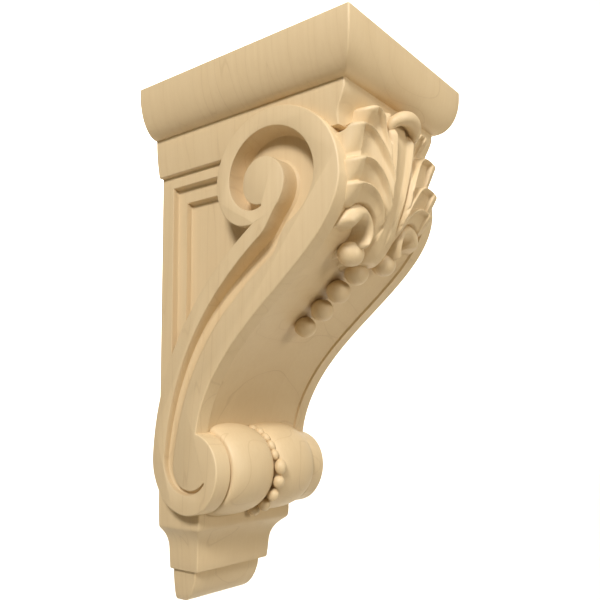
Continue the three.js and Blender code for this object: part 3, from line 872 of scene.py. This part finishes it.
def makeWood():
    # Light and dark mixed by board, fibre and growth, then thin lines laid over. The fibre also gives relief.
    w = woodLook
    wood = bpy.data.materials.new("palewood")
    wood.use_nodes = True
    nodes, links = wood.node_tree.nodes, wood.node_tree.links
    shader = nodes["Principled BSDF"]
    shader.inputs["Roughness"].default_value = w["roughness"]
    coord = nodes.new("ShaderNodeTexCoord").outputs["Object"]

    def plug(socket, value):
        if isinstance(value, bpy.types.NodeSocket):
            links.new(value, socket)
        else:
            socket.default_value = value

    def put(kind, values, settings=None):
        node = nodes.new(kind)
        for key, value in (settings or {}).items():
            setattr(node, key, value)
        for key, value in values.items():
            plug(node.inputs[key], value)
        return node

    def sums(operation, a, b=0.0, c=0.0):
        return put("ShaderNodeMath", {0: a, 1: b, 2: c}, {"operation": operation}).outputs[0]

    def noise(scale, detail, turn=(0, 0, 0)):
        moved = put("ShaderNodeMapping", {"Vector": coord, "Scale": scale, "Rotation": turn})
        values = {"Vector": moved.outputs[0], "Scale": 1.0, "Detail": detail}
        return put("ShaderNodeTexNoise", values).outputs["Fac"]

    def mixed(factor, a, b):
        mix = put("ShaderNodeMix", {}, {"data_type": "RGBA"})
        for key, value, kind in (("Factor", factor, "VALUE"), ("A", a, "RGBA"), ("B", b, "RGBA")):
            plug([socket for socket in mix.inputs if socket.name == key and socket.type == kind][0], value)
        return [socket for socket in mix.outputs if socket.type == "RGBA"][0]

    across = put("ShaderNodeSeparateXYZ", {"Vector": coord}).outputs["X"]
    board = sums("FLOOR", sums("MULTIPLY_ADD", across, 1000 / w["board"], 0.5))
    tone = put("ShaderNodeTexWhiteNoise", {"W": board}, {"noise_dimensions": "1D"}).outputs["Value"]
    slow = noise(w["patch"], 1.0)
    fibre = noise(w["fibre"], w["fibreDetail"])
    growth = noise(w["growth"], w["growthDetail"], (math.radians(w["growthTilt"]), 0, 0))
    bands = sums("PINGPONG", sums("MULTIPLY", growth, w["growthLines"]), 0.5)
    values = {"Value": bands, "From Min": w["lineWidth"], "From Max": 0.0}
    lines = put("ShaderNodeMapRange", values, {"interpolation_type": "SMOOTHSTEP"}).outputs[0]
    patchy = sums("MULTIPLY", lines, sums("MULTIPLY_ADD", slow, w["patchGain"], w["patchLift"]))
    late = sums("MULTIPLY", sums("SUBTRACT", 0.5, bands), w["lateStrength"])
    streaks = sums("MULTIPLY_ADD", fibre, w["fibreStrength"], late)
    plain = mixed(sums("MULTIPLY_ADD", tone, w["boardStrength"], streaks), w["light"], w["dark"])
    lined = mixed(sums("MULTIPLY", patchy, w["lineStrength"]), plain, w["line"])
    links.new(lined, shader.inputs["Base Color"])
    rough = sums("MULTIPLY_ADD", noise(w["waver"], 2.0), w["waverStrength"], fibre)
    bump = put("ShaderNodeBump", {"Height": rough, "Strength": w["bump"], "Distance": w["bumpHeight"]})
    links.new(bump.outputs[0], shader.inputs["Normal"])
    return wood


print("corbel: wood")
palewood = makeWood()
for piece in pieces:
    piece.data.materials.clear()
    piece.data.materials.append(palewood)
    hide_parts("corbel")
    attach(piece, "root")

# Floor that bends up into a backdrop behind the corbel, in metres.
stageLook = {
    "floor": -1.7,
    "start": -6.0,  # distances along the camera's line of sight
    "bend": 2.5,
    "bendRadius": 1.2,
    "wallTop": 6.0,
    "half": 20.0,
    "ahead": (0.797, 0.605),
    "colour": (0.9, 0.87, 0.8, 1),
    "roughness": 0.9,
    "world": 0.15,
    "air": (1.0, 0.84, 0.58, 1),
}


def makeStage():
    # A straight run, a quarter circle and an upright wall, carried across the width.
    s = stageLook
    turn = np.radians(np.linspace(0, 90, 12))
    radius = s["bendRadius"]
    bend = np.stack([s["bend"] + radius * np.sin(turn), radius * (1 - np.cos(turn))], 1)
    row = np.vstack([[s["start"], 0.0], bend, [s["bend"] + radius, s["wallTop"]]])
    ahead = np.array(s["ahead"])
    across = np.array([ahead[1], -ahead[0]])
    points = [[*(ahead * d + across * w), s["floor"] + h] for d, h in row for w in (-s["half"], s["half"])]
    faces = [[2 * i, 2 * i + 1, 2 * i + 3, 2 * i + 2] for i in range(len(row) - 1)]
    mesh = bpy.data.meshes.new("floor")
    mesh.from_pydata(points, [], faces)
    floor = bpy.data.objects.new("floor", mesh)
    bpy.context.collection.objects.link(floor)
    softenBy(floor, 60)
    paint = bpy.data.materials.new("floorPaint")
    paint.use_nodes = True
    paint.node_tree.nodes["Principled BSDF"].inputs["Base Color"].default_value = s["colour"]
    paint.node_tree.nodes["Principled BSDF"].inputs["Roughness"].default_value = s["roughness"]
    mesh.materials.append(paint)
    world = bpy.data.worlds.new("studio")
    world.use_nodes = True
    world.node_tree.nodes["Background"].inputs["Color"].default_value = s["air"]
    world.node_tree.nodes["Background"].inputs["Strength"].default_value = s["world"]
    bpy.context.scene.world = world


# Soft lamps: one from the left, two from the front and one on the backdrop.
lampSet = {
    "key": {
        "place": (-1.5, -0.75, 1.0), "target": (0, -0.08, 0.05),
        "width": 0.4, "power": 32, "colour": (1.0, 0.985, 0.96),
    },
    "front": {
        "place": (-0.1, -1.4, 1.4), "target": (0, -0.08, 0.05),
        "width": 0.5, "power": 9, "colour": (0.92, 0.96, 1.0),
    },
    "fill": {
        "place": (0.15, -1.55, 0.25), "target": (0, -0.1, 0.0),
        "width": 0.4, "power": 7, "colour": (1.0, 0.95, 0.85),
    },
    "backdrop": {
        "place": (0.9, 1.0, 1.9), "target": (2.6, 2.2, 1.0),
        "width": 1.0, "power": 240, "colour": (1, 1, 1),
    },
}


def makeLamp(name):
    # A square lamp turned towards its target.
    lamp = lampSet[name]
    light = bpy.data.lights.new(name, "AREA")
    light.size = lamp["width"]
    light.energy = lamp["power"]
    light.color = lamp["colour"]
    thing = bpy.data.objects.new(name, light)
    thing.location = lamp["place"]
    thing.rotation_mode = "QUATERNION"
    thing.rotation_quaternion = (Vector(lamp["target"]) - Vector(lamp["place"])).to_track_quat("-Z", "Y")
    bpy.context.collection.objects.link(thing)


cameraSet = {
    "place": (-0.38213, -0.38038, -0.05011),
    "azimuth": 37.569,
    "pitch": 4.247,
    "sensor": 36,
    "lens": 42.534,
    "shift": 0.107,
    "near": 0.01,
    "far": 50,
}


def makeCamera():
    # Looks along the direction given by azimuth and pitch.
    c = cameraSet
    pitch, turn = math.radians(c["pitch"]), math.radians(c["azimuth"])
    data = bpy.data.cameras.new("camera")
    data.sensor_width = c["sensor"]
    data.lens = c["lens"]
    data.shift_y = c["shift"]
    data.clip_start = c["near"]
    data.clip_end = c["far"]
    camera = bpy.data.objects.new("camera", data)
    camera.location = c["place"]
    ahead = Vector((math.cos(turn) * math.cos(pitch), math.sin(turn) * math.cos(pitch), math.sin(pitch)))
    camera.rotation_mode = "QUATERNION"
    camera.rotation_quaternion = ahead.to_track_quat("-Z", "Y")
    bpy.context.collection.objects.link(camera)
    bpy.context.scene.camera = camera


print("corbel: stage, lamps and camera")
makeStage()
for name in lampSet:
    makeLamp(name)
makeCamera()
bpy.context.scene.view_settings.view_transform = "Standard"

print("corbel: %d pieces, %d faces" % (len(pieces), sum(len(piece.data.polygons) for piece in pieces)))
